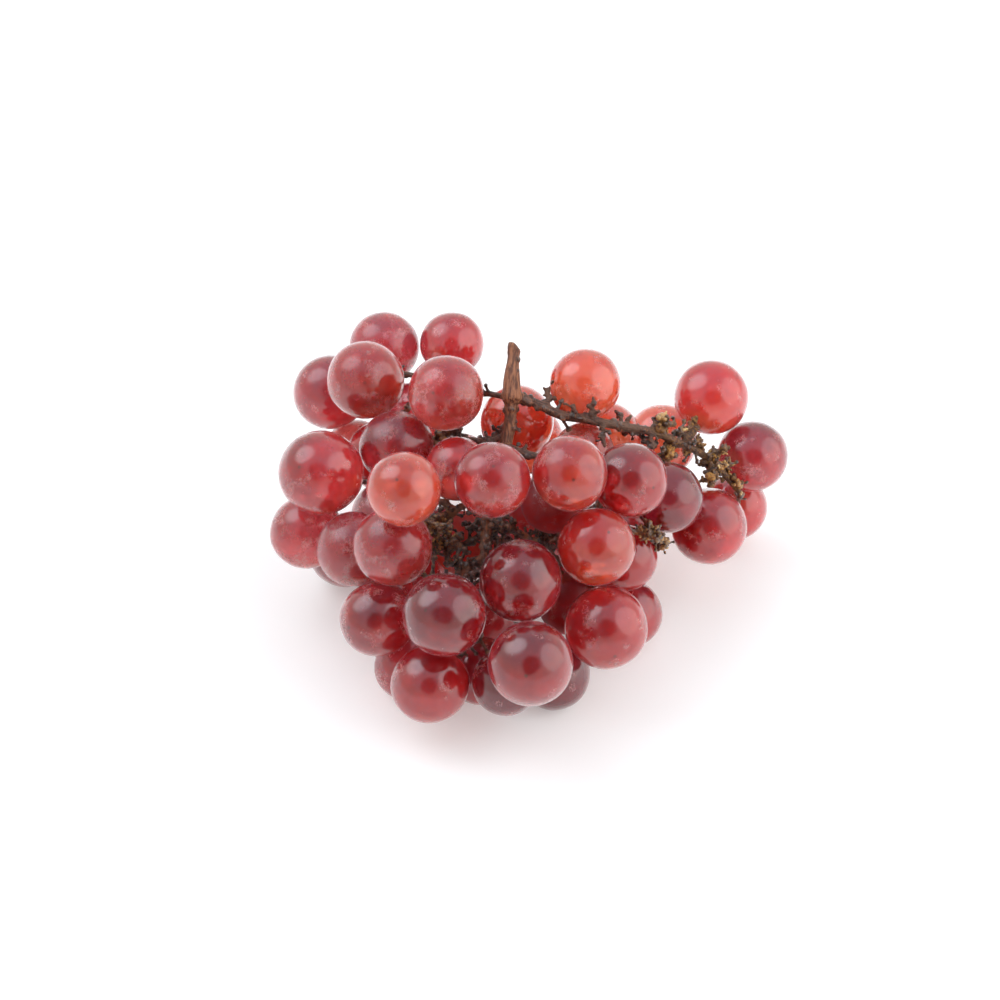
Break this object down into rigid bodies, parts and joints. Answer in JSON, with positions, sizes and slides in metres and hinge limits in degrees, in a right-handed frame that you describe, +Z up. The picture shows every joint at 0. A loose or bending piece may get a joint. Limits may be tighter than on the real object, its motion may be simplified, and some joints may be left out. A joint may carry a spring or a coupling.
{
  "type": "bunch of table grapes",
  "caption": "Bunch of round red table grapes lying on its back, with a short woody stalk and a bare knobbly side arm that carries a wing of berries",
  "frame": {"origin": "on the table, under the middle of the bunch's box", "axes": "+X to the viewer's right, towards the wing; +Y away from the viewer, from the tip of the bunch towards the cut stalk; +Z up from the table"},
  "size_m": [0.1404, 0.1364, 0.0748],
  "materials": {
    "grape_skin": "thin taut skin with a dusty wax bloom, rubbed red in patches",
    "stem_bark": "dry ridged bark with dark knobs and golden bracts"
  },
  "bodies": {
    "root": {"stem": "stem_bark", "left_shoulder_berry_1": "grape_skin", "left_shoulder_berry_2": "grape_skin", "left_shoulder_berry_3": "grape_skin", "left_shoulder_berry_4": "grape_skin", "left_shoulder_berry_5": "grape_skin", "left_middle_berry_1": "grape_skin", "left_middle_berry_2": "grape_skin", "left_middle_berry_3": "grape_skin", "left_middle_berry_4": "grape_skin", "left_middle_berry_5": "grape_skin", "left_middle_berry_6": "grape_skin", "left_low_berry_1": "grape_skin", "left_low_berry_2": "grape_skin", "left_low_berry_3": "grape_skin", "left_low_berry_4": "grape_skin", "front_left_berry_1": "grape_skin", "front_left_berry_2": "grape_skin", "front_left_berry_3": "grape_skin", "front_left_berry_4": "grape_skin", "tip_berry_1": "grape_skin", "tip_berry_2": "grape_skin", "tip_berry_3": "grape_skin", "tip_berry_4": "grape_skin", "tip_berry_5": "grape_skin", "tip_berry_6": "grape_skin", "front_right_berry_1": "grape_skin", "front_right_berry_2": "grape_skin", "front_right_berry_3": "grape_skin", "front_right_berry_4": "grape_skin", "right_middle_berry_1": "grape_skin", "right_middle_berry_2": "grape_skin", "right_middle_berry_3": "grape_skin", "right_middle_berry_4": "grape_skin", "right_middle_berry_5": "grape_skin", "arm_berry_1": "grape_skin", "arm_berry_2": "grape_skin", "arm_berry_3": "grape_skin", "arm_berry_4": "grape_skin", "arm_berry_5": "grape_skin", "wing_berry_1": "grape_skin", "wing_berry_2": "grape_skin", "wing_berry_3": "grape_skin", "wing_berry_4": "grape_skin", "inner_berry_1": "grape_skin", "inner_berry_2": "grape_skin", "inner_berry_3": "grape_skin", "inner_berry_4": "grape_skin", "back_berry_1": "grape_skin", "back_berry_2": "grape_skin", "back_berry_3": "grape_skin", "back_berry_4": "grape_skin", "under_berry_1": "grape_skin", "under_berry_2": "grape_skin", "under_berry_3": "grape_skin", "under_berry_4": "grape_skin", "under_berry_5": "grape_skin", "under_berry_6": "grape_skin", "under_berry_7": "grape_skin"}
  },
  "joints": []
}
